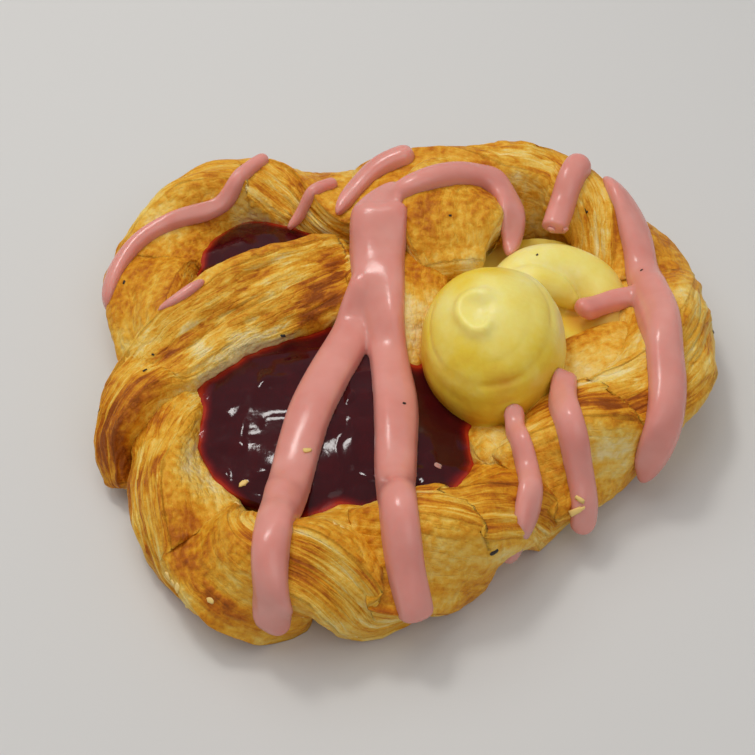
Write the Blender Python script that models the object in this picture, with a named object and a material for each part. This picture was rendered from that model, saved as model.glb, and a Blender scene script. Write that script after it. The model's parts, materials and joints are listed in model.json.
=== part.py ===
"""Danish pastry: one rope of twisted, laminated dough laid in three lobes, with a well in each.

Two wells hold cherry jam and the third a piped swirl of custard. Ribbons of poured pink icing lie
across the top. Frame: +Z up, the pastry rests on Z = 0, and the origin is the middle of its base.
"""

import math
from collections import namedtuple

import bmesh
import bpy
from mathutils import Matrix, Vector
from mathutils.bvhtree import BVHTree

MM = 0.001

# ---- driving dimensions, in millimetres ----------------------------------------------------------
GAP = 0.4  # clearance between touching solids
FLOOR_TOP = 7.0  # the dough left under the fillings
TRAY_CUT = 1.2  # how much of each rope's round underside the tray has pressed flat
SECTION_POWER = 4.0  # 2 is an ellipse, and larger values are a strip with squarer corners
LEAF_GROOVE = 1.1  # depth of the grooves between the leaves of dough on a cut edge
ICING_THICK = 4.6
ICING_LIFT = 1.3  # how far an icing ribbon's centreline stands off the surface it was poured on
SLIVER = 0.02  # faces smaller than this, in mm2, don't steer a clearance
SNAP_REACH = 7.0  # a ribbon point further than this from the surface hangs free

# A station of a dough rope: its place in plan, how far its underside is above the tray, the width
# and thickness of the strip there, and its roll in degrees. Roll 0 lays the strip flat and 90
# stands it on its cut edge.
Station = namedtuple("Station", "x y lift width thick roll")

RING = [
    Station(-45, 6, 0, 13, 13, -80),
    Station(-46.5, -7, 0, 15, 14, -105),
    Station(-45, -19, 0, 16, 14, -135),
    Station(-38.5, -30.5, 0, 19, 15, -172),
    Station(-29.5, -39.5, 0, 22, 17, -235),
    Station(-17, -39, 0, 23, 18, -310),
    Station(-3, -37.5, 0, 23, 18, -385),
    Station(9, -33, 0, 22, 17, -450),
    Station(18, -24, 0, 18, 15, -510),
    Station(29, -15.5, 0, 22, 16, -580),
    Station(41, -7, 0, 22, 18, -630),
    Station(50, 4, 0, 22, 19, -660),
    Station(54, 20, 0, 23, 17, -690),
    Station(53, 36, 0, 22, 16, -730),
    Station(46, 50, 0, 23, 16, -770),
    Station(33, 58, 1, 26, 15, -810),
    Station(18, 57, 2, 25, 15, -835),
    Station(4, 55, 8, 22, 16, -890),
    Station(-10, 55, 5, 21, 16, -900),
    Station(-23, 60, 0, 20, 16, -950),
    Station(-37, 61, 0, 21, 15, -990),
    Station(-49, 53, 0, 21, 15, -1040),
    Station(-55, 39, 0, 21, 15, -1080),
    Station(-53, 24, 0, 20, 15, -1115),
    Station(-49, 13, 0, 18, 14, -1145),
]
RING_TURNS = -1080  # the roll when the ring meets its own start, a whole number of half turns

# The rope's first end: it comes from the middle and is the wall between the two jam wells.
INNER_WALL = [
    Station(-10, 33, 6, 14, 21, 80),
    Station(-16.5, 31, 5.5, 15, 22, 102),
    Station(-27.5, 26.5, 5.5, 15, 21.5, 124),
    Station(-39.5, 19, 5.2, 15, 20, 124),
    Station(-49.5, 8, 4.3, 14, 18, 99),
    Station(-55, -2.5, 6.5, 11.5, 13, 70),
    Station(-57.8, -9, 5, 7.5, 8, 55),
    Station(-57.2, -14.5, 2.5, 5, 6, 40),
]

# The rope's other end, folded over the crossing in the middle with its blunt end to the front.
KNOB = [
    Station(17, 55, 6, 22, 15, 20),
    Station(11, 47, 12, 24, 16, 10),
    Station(9.5, 40.5, 12, 22.5, 16, 5),
    Station(10, 34.5, 11.5, 16, 13, 0),
]

# The low wall that runs from under the knob to the front, between the jam and the custard.
DIVIDER = [
    Station(4, 40, 0, 18, 20, 0),
    Station(0, 28, 0, 16, 22, 10),
    Station(0, 16, 0, 12, 17, 20),
    Station(6, 6, 0, 9, 11, 0),
    Station(15, -3, 0, 9, 12.5, 0),
    Station(20.5, -12, 0, 15, 15.5, 0),
]

# A tongue of dough that the custard was piped against, from the front strand to the right one.
FLAP = [
    Station(30, 2, 0, 12, 16.5, 0),
    Station(37, 8, 0, 15, 18, 0),
    Station(45, 12, 0, 14, 18, 0),
    Station(52, 14, 0, 8, 16, 0),
]

# Each filling is a cushion in its well. The outlines run under the ropes, which cut them to shape.
FRONT_JAM = [(-47, 8), (-34, 20), (-17, 26), (0, 20), (10, 8), (15, -5), (14, -17), (8, -29), (-5, -33), (-19, -32), (-27, -26), (-38, -18)]
BACK_JAM = [(-48, 26), (-48, 44), (-36, 54), (-22, 53), (-13, 44), (-16, 34), (-28, 27), (-38, 20)]
CUSTARD = [(4, 15), (6, 3), (13, -6), (24, -12), (38, -3), (48, 12), (48, 32), (38, 45), (22, 46), (8, 34)]
JAM_EDGE = 11.0
FRONT_JAM_DOME = 4.5
BACK_JAM_DOME = 3.5

Dome = namedtuple("Dome", "x y radius top")
CUSTARD_EDGE = 12.0
CUSTARD_RIDGE = 0.7  # the star nozzle leaves ridges that wind round each dome
CUSTARD_DOMES = [Dome(18.0, 9.5, 16.0, 33.0), Dome(33.0, 29.0, 15.0, 22.5), Dome(38.0, 15.0, 12.0, 16.0)]

# The icing: each ribbon's route as points that are near the surface, with its width at each.
ICING = {
    "icing_front_left": [
        (-5.8, 31, 25, 8),
        (-7, 25.5, 20.5, 9),
        (-9.4, 20, 17, 9.2),
        (-12.5, 12, 16, 9.4),
        (-16, 2.5, 16, 9.6),
        (-19, -6, 16, 9.6),
        (-22, -19.5, 17, 9.2),
        (-23.7, -34, 22, 7.8),
        (-24.6, -43, 20, 7),
        (-24.2, -48, 12, 6),
        (-22.5, -51.5, 6, 4.6),
    ],
    "icing_front_right": [
        (-4.5, 47.5, 27, 10.5),
        (-5.2, 41, 28.5, 12.5),
        (-5.6, 33, 27.5, 12.5),
        (-5.5, 27, 23, 12.2),
        (-4.9, 22, 18, 10),
        (-3.6, 12, 16, 8),
        (-2.4, 2, 16, 8.8),
        (-1.8, -6, 16, 9.4),
        (-2.2, -20, 16.5, 8.2),
        (-1.9, -34.5, 22.5, 7),
        (-0.7, -43, 18.5, 7),
        (1, -48, 10, 6.8),
    ],
    "icing_knob": [
        (-5, 45, 22, 5.5),
        (-0.5, 45, 28, 5),
        (5, 47, 30, 5.5),
        (12, 51, 28, 6),
        (19, 53, 25, 6.5),
        (23.5, 49, 22, 7),
        (24, 42, 21, 6.5),
        (23, 34, 21, 4),
    ],
    "icing_top": [(2, 61, 28, 5.5), (-5.5, 59, 26, 6), (-11, 54, 23, 5), (-14.5, 47, 19, 4)],
    "icing_back_short": [(-15, 58, 19, 3.2), (-19, 54, 20, 3), (-22.5, 51.5, 18, 2.8), (-26.5, 48, 15, 2.6)],
    "icing_back_long": [
        (-31.5, 65, 19, 3.4),
        (-35.5, 60, 20, 3.6),
        (-38.5, 55, 19, 3.3),
        (-42, 52, 17, 3.2),
        (-48, 49.5, 17, 3.3),
        (-54, 46.5, 17, 3.4),
        (-59, 43, 15.5, 3.8),
        (-63, 37, 12, 4.2),
        (-65, 29, 6, 4),
    ],
    "icing_back_patch": [(-41, 22, 22, 2.6), (-45.5, 18.8, 22, 3), (-50.5, 15.5, 21, 2.2)],
    "icing_right": [
        (45, 55, 23, 6),
        (49.5, 47, 20.5, 8),
        (51.5, 40, 19, 8.4),
        (52, 33, 17, 7.6),
        (52, 25, 17, 7.4),
        (52, 14, 19, 8.2),
        (51.5, 4, 20, 8.2),
        (51.5, -4, 18, 8),
        (50, -11, 13, 7.4),
        (46.5, -17, 6, 6.5),
    ],
    "icing_right_branch": [(36, 18, 20, 6), (41, 21, 20, 4.5), (46, 23.5, 18, 4.5), (50.5, 24, 17, 5)],
    "icing_back_right": [(40, 58, 24, 7), (37.5, 53, 24.5, 6), (35.5, 48, 23, 6), (33, 41, 22, 6)],
    "icing_right_drop": [
        (32, 1, 18, 5.3),
        (30.3, -7, 20, 5.6),
        (30.5, -14, 21, 5.6),
        (32.5, -19, 18, 5.6),
        (34.3, -25, 12, 5.8),
        (33, -30, 6, 5),
    ],
    "icing_small_drop": [
        (21, -7, 16, 4.6),
        (21, -13, 18, 3.6),
        (22.8, -19, 17, 4.4),
        (23.3, -25, 16, 5),
        (22, -31, 12, 4.8),
        (19, -35.5, 7, 3.2),
    ],
}

COLOURS = {
    "crust": ((0.62, 0.33, 0.09), 0.6),
    "jam": ((0.16, 0.005, 0.008), 0.12),
    "custard": ((0.80, 0.58, 0.16), 0.35),
    "icing": ((0.78, 0.36, 0.33), 0.3),
}

RING_STEPS = 78
ROPE_SIDES = 20
END_STEPS = 2


# ---- reading a smooth line through hand-placed points --------------------------------------------
def catmull_rom(a, b, c, d, t):
    """The value at t between b and c, on a smooth curve through all four."""
    return 0.5 * (2 * b + (c - a) * t + (2 * a - 5 * b + 4 * c - d) * t**2 + (3 * b - a - 3 * c + d) * t**3)


def smooth_rows(rows, steps, closed=False):
    """Rows of numbers read at steps + 1 even places along a smooth curve through the given rows."""
    if closed:
        turned = rows[0]._replace(roll=rows[0].roll + RING_TURNS)
        after = rows[1]._replace(roll=rows[1].roll + RING_TURNS)
        before = rows[-1]._replace(roll=rows[-1].roll - RING_TURNS)
        padded = [before, *rows, turned, after]
    else:
        padded = [rows[0], *rows, rows[-1]]
    gaps = len(padded) - 3
    found = []
    for step in range(steps if closed else steps + 1):
        place = step / steps * gaps
        gap = min(int(place), gaps - 1)
        four = padded[gap : gap + 4]
        found.append([catmull_rom(*values, place - gap) for values in zip(*four)])
    return found


# ---- meshes --------------------------------------------------------------------------------------
def new_object(name, mesh_data, material=None):
    """An object whose mesh is given in millimetres, turned into metres."""
    mesh = bpy.data.meshes.new(name)
    mesh_data.normal_update()
    bmesh.ops.recalc_face_normals(mesh_data, faces=mesh_data.faces)
    bmesh.ops.scale(mesh_data, vec=(MM, MM, MM), verts=mesh_data.verts)
    mesh_data.to_mesh(mesh)
    mesh_data.free()
    obj = bpy.data.objects.new(name, mesh)
    bpy.context.scene.collection.objects.link(obj)
    if material:
        mesh.materials.append(material)
    return obj


def skin_rings(rings, closed=False):
    """A closed mesh over rings of points, joined end to end when closed and capped when not."""
    data = bmesh.new()
    made = [[data.verts.new(p) for p in ring] for ring in rings]
    pairs = list(zip(made, made[1:]))
    if closed:
        pairs.append((made[-1], made[0]))
    for first, second in pairs:
        count = len(first)
        for i in range(count):
            j = (i + 1) % count
            data.faces.new((first[i], first[j], second[j], second[i]))
    if not closed:
        for ring in (made[0], made[-1]):
            middle = data.verts.new(sum((v.co for v in ring), Vector()) / len(ring))
            for i, vert in enumerate(ring):
                data.faces.new((vert, ring[(i + 1) % len(ring)], middle))
    return data


def section_points(width, thick, roll, sides, power, groove=0):
    """A strip's cross-section, turned by its roll, as (across, up) pairs. Grooves part its cut edges in leaves."""
    turn = math.radians(roll)
    points = []
    for i in range(sides):
        angle = 2 * math.pi * i / sides
        c, s = math.cos(angle), math.sin(angle)
        reach = (abs(c) ** power + abs(s) ** power) ** (-1 / power)
        a, b = width / 2 * c * reach, thick / 2 * s * reach
        if groove and 0.9 < abs(c) < 0.99:
            a -= math.copysign(groove, c)
        points.append((a * math.cos(turn) - b * math.sin(turn), a * math.sin(turn) + b * math.cos(turn)))
    return points


def sweep(centres, sections, closed=False):
    """Cross-sections set square to the line of centres, with rounded ends on an open line."""
    count = len(centres)
    rings = []
    for i, (centre, section) in enumerate(zip(centres, sections)):
        before = centres[(i - 1) % count] if closed or i else centre
        after = centres[(i + 1) % count] if closed or i < count - 1 else centre
        along = (after - before).normalized()
        across = along.cross(Vector((0, 0, 1))).normalized()
        up = across.cross(along)
        placed = [centre + across * a + up * b for a, b in section]
        if not closed and i in (0, count - 1):
            outward = -along if i == 0 else along
            rounded = rounded_end(centre, placed, outward)
            rings.extend([*reversed(rounded), placed] if i == 0 else [placed, *rounded])
        else:
            rings.append(placed)
    return skin_rings(rings, closed)


def rounded_end(centre, ring, outward):
    """Shrinking copies of the last ring that round an end off."""
    reach = min((p - centre).length for p in ring)
    copies = []
    for step in range(1, END_STEPS + 1):
        angle = step / (END_STEPS + 1) * math.pi / 2
        moved = centre + outward * reach * math.sin(angle)
        copies.append([moved + (p - centre) * math.cos(angle) for p in ring])
    return copies


def rope(stations, steps, closed=False, by=0.0):
    """A length of the twisted dough strip, pressed on the tray, with its surface moved outwards by that much."""
    centres, sections = [], []
    for x, y, lift, width, thick, roll in smooth_rows(stations, steps, closed):
        half_height = max(up for _, up in strip_section(width, thick, roll))
        centres.append(Vector((x, y, lift + half_height - TRAY_CUT)))
        sections.append(strip_section(width + 2 * by, thick + 2 * by, roll))
    return sweep(centres, sections, closed)


def strip_section(width, thick, roll):
    return section_points(width, thick, roll, ROPE_SIDES, SECTION_POWER, LEAF_GROOVE)


def cushion(outline, rows, steps, height):
    """A filling from the floor up: its plan outline in shrinking copies, each at height(x, y)."""
    corners = [Station(x, y, 0, 0, 0, 0) for x, y in outline]
    ring = [corners[-1], *corners, corners[0], corners[1]]
    plan = []
    for step in range(steps):
        place = step / steps * len(outline)
        gap = int(place)
        four = ring[gap : gap + 4]
        plan.append([catmull_rom(*values, place - gap) for values in zip(*four)][:2])
    mid = [sum(p[k] for p in plan) / steps for k in (0, 1)]
    rings = [[Vector((x, y, FLOOR_TOP + GAP)) for x, y in plan]]
    for row in range(rows):
        share = 1 - row / rows
        spots = [(mid[0] + (x - mid[0]) * share, mid[1] + (y - mid[1]) * share) for x, y in plan]
        rings.append([Vector((x, y, height(x, y, share))) for x, y in spots])
    return skin_rings(rings)


# ---- solids --------------------------------------------------------------------------------------
def hidden(obj):
    """A helper that shapes another piece and isn't part of the object."""
    obj.hide_render = True
    obj.display_type = "WIRE"
    return obj


def combine(obj, operation, others):
    """Joins or cuts obj by the others, and keeps the result as its own mesh."""
    for other in others:
        modifier = obj.modifiers.new(other.name, "BOOLEAN")
        modifier.operation = operation
        modifier.object = other
        modifier.solver = "MANIFOLD"
    graph = bpy.context.evaluated_depsgraph_get()
    result = bpy.data.meshes.new_from_object(obj.evaluated_get(graph))
    obj.modifiers.clear()
    obj.data = result
    return obj


def filled(obj):
    """Keeps the outer shell alone. It drops shut-in pockets, which bake solid, and scraps that a cut left."""
    data = bmesh.new()
    data.from_mesh(obj.data)
    left, shells = set(data.faces), []
    while left:
        shell, rim = set(), {left.pop()}
        while rim:
            shell |= rim
            rim = {near for face in rim for edge in face.edges for near in edge.link_faces} - shell
        left -= shell
        shells.append(shell)
    outer = max(shells, key=len)
    bmesh.ops.delete(data, geom=[face for face in data.faces if face not in outer], context="FACES")
    bmesh.ops.triangulate(data, faces=data.faces)
    data.to_mesh(obj.data)
    data.free()
    return obj


def thinned(obj, share):
    """Keeps about this share of the faces, where a cut has left more than the shape needs."""
    modifier = obj.modifiers.new("thin", "DECIMATE")
    modifier.ratio = share
    return combine(obj, "UNION", [])


def centred_on_base(pieces):
    """Moves all the pieces together so that the origin is the middle of the base."""
    spots = [v.co for piece in pieces for v in piece.data.vertices]
    low = Vector([min(p[k] for p in spots) for k in range(3)])
    high = Vector([max(p[k] for p in spots) for k in range(3)])
    shift = Matrix.Translation((-(low.x + high.x) / 2, -(low.y + high.y) / 2, -low.z))
    for piece in pieces:
        piece.data.transform(shift)


def grown(obj, by):
    """A hidden copy of obj whose surface stands proud of it, for cutting a neighbour clear of it."""
    data = bmesh.new()
    data.from_mesh(obj.data)
    moves = []
    for vert in data.verts:
        faces = [face for face in vert.link_faces if face.calc_area() > SLIVER * MM**2]
        normal = sum((face.normal * face.calc_area() for face in faces), Vector()).normalized()
        facing = min((normal.dot(face.normal) for face in faces), default=1)
        moves.append(normal * by * MM / max(facing, 0.35))
    for vert, move in zip(data.verts, moves):
        vert.co += move
    mesh = bpy.data.meshes.new(obj.name + "_clearance")
    data.to_mesh(mesh)
    data.free()
    copy = bpy.data.objects.new(mesh.name, mesh)
    bpy.context.scene.collection.objects.link(copy)
    return hidden(copy)


def surface_of(objects):
    """A tree of the objects' triangles, in millimetres, for finding the nearest point on them."""
    points, faces = [], []
    for obj in objects:
        start = len(points)
        points.extend(v.co / MM for v in obj.data.vertices)
        faces.extend([start + i for i in p.vertices] for p in obj.data.polygons)
    return BVHTree.FromPolygons(points, faces)


def ribbon(route, surface):
    """Icing poured along a route: it settles on the surface, and hangs where that is out of reach."""
    rows = smooth_rows([Vector(p) for p in route], 3 * (len(route) - 1))
    poured = [Vector(row[:3]) for row in rows]
    centres = [settled(point, surface, SNAP_REACH) for point in poured]
    for _ in range(6):
        inner = [(a + b * 2 + c) / 4 for a, b, c in zip(centres, centres[1:], centres[2:])]
        centres = [settled(p, surface, 0) for p in [centres[0], *inner, centres[-1]]]
        centres = [centres[0], *map(kept_in_line, centres[1:], poured[1:], poured[:-1], poured[2:] + poured[-1:])]
    sections = [section_points(row[3], min(ICING_THICK, 0.75 * row[3]), 0, 8, 2.0) for row in rows]
    return sweep(centres, sections)


def settled(point, surface, reach):
    """The point moved to stand ICING_LIFT off the surface, when it is inside it or within reach above it."""
    spot, normal, _, _ = surface.find_nearest(point)
    stand = (point - spot).dot(normal)
    return spot + normal * ICING_LIFT if stand < max(reach, ICING_LIFT) else point


def kept_in_line(point, aim, before, after):
    """The point moved sideways back into the upright plane of its route."""
    along = after - before
    side = Vector((along.y, -along.x, 0)).normalized()
    return point - side * (point - aim).dot(side)


def material(name):
    colour, roughness = COLOURS[name]
    made = bpy.data.materials.new(name)
    made.use_nodes = True
    shader = made.node_tree.nodes["Principled BSDF"]
    shader.inputs["Base Color"].default_value = (*colour, 1)
    shader.inputs["Roughness"].default_value = roughness
    shader.inputs["Metallic"].default_value = 0
    return made


# ---- the pastry ----------------------------------------------------------------------------------
def dough_lengths(by=0.0):
    """The lengths of dough as separate hidden solids. Grown by a clearance, they cut a neighbour free."""
    made = {
        "ring": rope(RING, RING_STEPS, closed=True, by=by),
        "inner_wall": rope(INNER_WALL, 16, by=by),
        "knob": rope(KNOB, 7, by=by),
        "divider": rope(DIVIDER, 7, by=by),
        "flap": rope(FLAP, 5, by=by),
        "floor": floor_slab(by),
    }
    return [hidden(new_object(name, data)) for name, data in made.items()]


def floor_slab(by):
    """The thin sheet of dough under the wells, out to the middle of the ring."""
    plan = smooth_rows(RING, 36, closed=True)
    rings = [[Vector((row[0], row[1], z)) for row in plan] for z in (-2, FLOOR_TOP + by)]
    return skin_rings(rings)


def build_crust(finish):
    crust, *others = dough_lengths()
    crust.name = "crust"
    crust.hide_render = False
    crust.display_type = "TEXTURED"
    crust.data.materials.append(finish)
    combine(crust, "UNION", others)
    tray = bmesh.new()
    bmesh.ops.create_cube(tray, size=200, matrix=Matrix.Translation((0, 0, -100)))
    combine(crust, "DIFFERENCE", [hidden(new_object("tray", tray))])
    return thinned(filled(crust), 0.7)


def build_fillings(crust, clearances, jam, custard):
    def jam_height(dome, waves):
        def height(x, y, share):
            return JAM_EDGE + dome * (1 - share**2) + waves * math.sin(0.35 * x) * math.cos(0.3 * y)

        return height

    def custard_height(x, y, share):
        height = CUSTARD_EDGE
        for dome in CUSTARD_DOMES:
            away = math.hypot(x - dome.x, y - dome.y) / dome.radius
            turn = math.atan2(y - dome.y, x - dome.x)
            if away < 1:
                ridge = CUSTARD_RIDGE * math.cos(2 * turn + 5 * away) * math.sin(math.pi * away)
                height = max(height, CUSTARD_EDGE + (dome.top - CUSTARD_EDGE) * math.sqrt(1 - away**2) + ridge)
        return height

    made = {
        "custard": new_object("custard", cushion(CUSTARD, 9, 28, custard_height), custard),
        "jam_front": new_object("jam_front", cushion(FRONT_JAM, 4, 20, jam_height(FRONT_JAM_DOME, 0.6)), jam),
        "jam_back": new_object("jam_back", cushion(BACK_JAM, 3, 16, jam_height(BACK_JAM_DOME, 0.4)), jam),
    }
    for filling in made.values():
        filled(combine(filling, "DIFFERENCE", clearances))
    thinned(made["custard"], 0.75)
    for filling in made.values():
        filled(combine(filling, "DIFFERENCE", [crust]))
    filled(combine(made["jam_front"], "DIFFERENCE", [grown(made["custard"], GAP)]))
    return list(made.values())


def build_icing(under, clearances, finish):
    surface = surface_of(under)
    ribbons = {name: new_object(name, ribbon(route, surface), finish) for name, route in ICING.items()}
    for whole, part in (
        ("icing_front_left", "icing_front_right"),
        ("icing_front_left", "icing_knob"),
        ("icing_right", "icing_right_branch"),
    ):
        combine(ribbons[whole], "UNION", [hidden(ribbons.pop(part))])
    for piece in ribbons.values():
        thinned(filled(combine(piece, "DIFFERENCE", clearances)), 0.58)
        filled(combine(piece, "DIFFERENCE", under))
    return list(ribbons.values())


def main():
    for obj in list(bpy.data.objects):
        bpy.data.objects.remove(obj)
    finishes = {name: material(name) for name in COLOURS}
    crust = build_crust(finishes["crust"])
    clearances = dough_lengths(GAP)
    fillings = build_fillings(crust, clearances, finishes["jam"], finishes["custard"])
    clearances += [grown(filling, GAP) for filling in fillings]
    icing = build_icing([crust, *fillings], clearances, finishes["icing"])
    pieces = [crust, *fillings, *icing]
    centred_on_base(pieces)
    for piece in pieces:
        piece.data.shade_smooth()
        piece.data.set_sharp_from_angle(angle=math.radians(45))


main()
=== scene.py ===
"""Danish pastry: the finished surfaces of the twisted dough, its two jam wells, the custard and the icing."""

import json
import math
from itertools import product

import bmesh
import bpy
import numpy as np
from mathutils import Matrix, Vector
from mathutils.bvhtree import BVHTree

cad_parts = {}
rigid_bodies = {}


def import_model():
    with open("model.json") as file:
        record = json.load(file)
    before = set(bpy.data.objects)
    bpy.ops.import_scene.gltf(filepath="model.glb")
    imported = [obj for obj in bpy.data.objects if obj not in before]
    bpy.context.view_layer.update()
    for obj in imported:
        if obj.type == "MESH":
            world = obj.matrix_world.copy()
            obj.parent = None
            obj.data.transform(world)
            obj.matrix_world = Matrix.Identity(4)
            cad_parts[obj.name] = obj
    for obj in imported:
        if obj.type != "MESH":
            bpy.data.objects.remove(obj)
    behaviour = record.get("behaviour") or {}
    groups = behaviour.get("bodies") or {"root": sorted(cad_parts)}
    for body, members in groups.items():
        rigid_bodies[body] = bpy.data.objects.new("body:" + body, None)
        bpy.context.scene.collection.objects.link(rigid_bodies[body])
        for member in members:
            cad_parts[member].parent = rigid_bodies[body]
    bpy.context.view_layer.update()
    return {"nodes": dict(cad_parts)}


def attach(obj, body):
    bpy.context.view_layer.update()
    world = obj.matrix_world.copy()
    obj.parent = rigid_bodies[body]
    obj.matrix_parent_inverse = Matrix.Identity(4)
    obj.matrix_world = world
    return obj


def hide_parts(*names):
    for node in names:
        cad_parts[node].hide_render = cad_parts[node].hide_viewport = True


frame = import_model()
scene = bpy.context.scene

# ---- table, light and camera ---------------------------------------------------------------------
# The pastry lies on a plain pale sheet of card, a little warm, under one large soft lamp that stands
# behind it to the left. The room around gives the rest of the light.
TABLE_SIZE = 3.0
TABLE_COLOUR = (0.67, 0.657, 0.632)
CAMERA_AIM = Vector((-0.00525, -0.00493, 0.01402))
CAMERA_AWAY = 0.257
CAMERA_HEIGHT = math.radians(50)


def node(tree, kind, inputs=None, **settings):
    """A shader node. An input is given a value, or another node's socket to be joined to."""
    made = tree.nodes.new(kind)
    for key, value in settings.items():
        setattr(made, key, value)
    for key, value in (inputs or {}).items():
        if isinstance(value, bpy.types.NodeSocket):
            tree.links.new(value, made.inputs[key])
        else:
            made.inputs[key].default_value = value
    return made


def new_material(name):
    """A material with one principled shader, and its node tree and shader."""
    made = bpy.data.materials.new(name)
    made.use_nodes = True
    return made, made.node_tree, made.node_tree.nodes["Principled BSDF"]


def new_piece(name, mesh, material=None):
    piece = bpy.data.objects.new(name, mesh)
    scene.collection.objects.link(piece)
    if material:
        mesh.materials.clear()
        mesh.materials.append(material)
    return piece


def lamp(name, place, aim, size, power, colour):
    light = bpy.data.lights.new(name, "AREA")
    light.shape = "DISK"
    light.size = size
    light.energy = power
    light.color = colour
    made = bpy.data.objects.new(name, light)
    scene.collection.objects.link(made)
    made.location = place
    made.rotation_euler = (Vector(aim) - Vector(place)).to_track_quat("-Z", "Y").to_euler()
    return made


table_data = bmesh.new()
bmesh.ops.create_grid(table_data, x_segments=1, y_segments=1, size=TABLE_SIZE / 2)
table_mesh = bpy.data.meshes.new("table")
table_data.to_mesh(table_mesh)
table_data.free()
card, tree, shader = new_material("table_card")
shader.inputs["Base Color"].default_value = (*TABLE_COLOUR, 1)
shader.inputs["Roughness"].default_value = 0.9
shader.inputs["Specular IOR Level"].default_value = 0.2
table = new_piece("table", table_mesh, card)

soft = lamp("lamp_soft", (-0.20, 0.18, 0.64), (0, 0, 0.01), 0.75, 1.95, (1.0, 0.975, 0.94))
soft.visible_glossy = False
lamp("lamp_glint", (-0.20, 0.24, 0.62), (0, 0, 0.01), 0.13, 0.9, (1.0, 0.985, 0.96))
lamp("lamp_fill", (0.20, -0.35, 0.60), (0, 0, 0.01), 0.6, 0.7, (1.0, 0.98, 0.96))
world = bpy.data.worlds.new("room")
scene.world = world
world.use_nodes = True
world.node_tree.nodes["Background"].inputs["Color"].default_value = (0.93, 0.95, 1.0, 1)
world.node_tree.nodes["Background"].inputs["Strength"].default_value = 0.36

camera = bpy.data.objects.new("camera", bpy.data.cameras.new("camera"))
scene.collection.objects.link(camera)
camera.data.lens = 60
camera.data.sensor_width = 36
camera.data.clip_start = 0.01
back = Vector((0, -math.cos(CAMERA_HEIGHT), math.sin(CAMERA_HEIGHT)))
camera.location = CAMERA_AIM + back * CAMERA_AWAY
camera.rotation_euler = (-back).to_track_quat("-Z", "Y").to_euler()
scene.camera = camera
scene.view_settings.view_transform = "Standard"

# ---- crust ---------------------------------------------------------------------------------------
# One strip of laminated yeast dough, cut from a folded sheet, twisted and laid in three lobes. The
# strip's two cut edges open into thin leaves as it bakes, and its flats keep a blistered skin. Each
# row of a rope is: place in plan, lift off the tray, width and thickness of the strip, and its roll.
MM = 0.001
CROSSING = Vector((0.349, -8.925, 0.021))  # where the rope's plan has its origin in the model
FLOOR_TOP = 7.0
TRAY_CUT = 1.2
RING = [
    (-45, 6, 0, 13, 13, -80),
    (-46.5, -7, 0, 15, 14, -105),
    (-45, -19, 0, 16, 14, -135),
    (-38.5, -30.5, 0, 19, 15, -172),
    (-29.5, -39.5, 0, 22, 17, -235),
    (-17, -39, 0, 23, 18, -310),
    (-3, -37.5, 0, 23, 18, -385),
    (9, -33, 0, 22, 17, -450),
    (18, -24, 0, 18, 15, -510),
    (29, -15.5, 0, 22, 16, -580),
    (41, -7, 0, 22, 18, -630),
    (50, 4, 0, 22, 19, -660),
    (54, 20, 0, 23, 17, -690),
    (53, 36, 0, 22, 16, -730),
    (46, 50, 0, 23, 16, -770),
    (33, 58, 1, 26, 15, -810),
    (18, 57, 2, 25, 15, -835),
    (4, 55, 8, 22, 16, -890),
    (-10, 55, 5, 21, 16, -900),
    (-23, 60, 0, 20, 16, -950),
    (-37, 61, 0, 21, 15, -990),
    (-49, 53, 0, 21, 15, -1040),
    (-55, 39, 0, 21, 15, -1080),
    (-53, 24, 0, 20, 15, -1115),
    (-49, 13, 0, 18, 14, -1145),
]
RING_TURNS = -1080
INNER_WALL = [
    (-10, 33, 6, 14, 21, 80),
    (-16.5, 31, 5.5, 15, 22, 102),
    (-27.5, 26.5, 5.5, 15, 21.5, 124),
    (-39.5, 19, 5.2, 15, 20, 124),
    (-49.5, 8, 4.3, 14, 18, 99),
    (-55, -2.5, 6.5, 11.5, 13, 70),
    (-57.8, -9, 5, 7.5, 8, 55),
    (-57.2, -14.5, 2.5, 5, 6, 40),
]
KNOB = [
    (17, 55, 6, 22, 15, 20),
    (11, 47, 12, 24, 16, 10),
    (9.5, 40.5, 12, 22.5, 16, 5),
    (10, 34.5, 11.5, 16, 13, 0),
]
DIVIDER = [
    (4, 40, 0, 18, 20, 0),
    (0, 28, 0, 16, 22, 10),
    (0, 16, 0, 12, 17, 20),
    (6, 6, 0, 9, 11, 0),
    (15, -3, 0, 9, 12.5, 0),
    (20.5, -12, 0, 15, 15.5, 0),
]
FLAP = [
    (30, 2, 0, 12, 16.5, 0),
    (37, 8, 0, 15, 18, 0),
    (45, 12, 0, 14, 18, 0),
    (52, 14, 0, 8, 16, 0),
]
ROPE_SIDES = 224
END_ROWS = 18
LEAF = 1.7  # one leaf of dough, with the thin fat layer under it
CRUST_LIMIT = 190000
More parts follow.
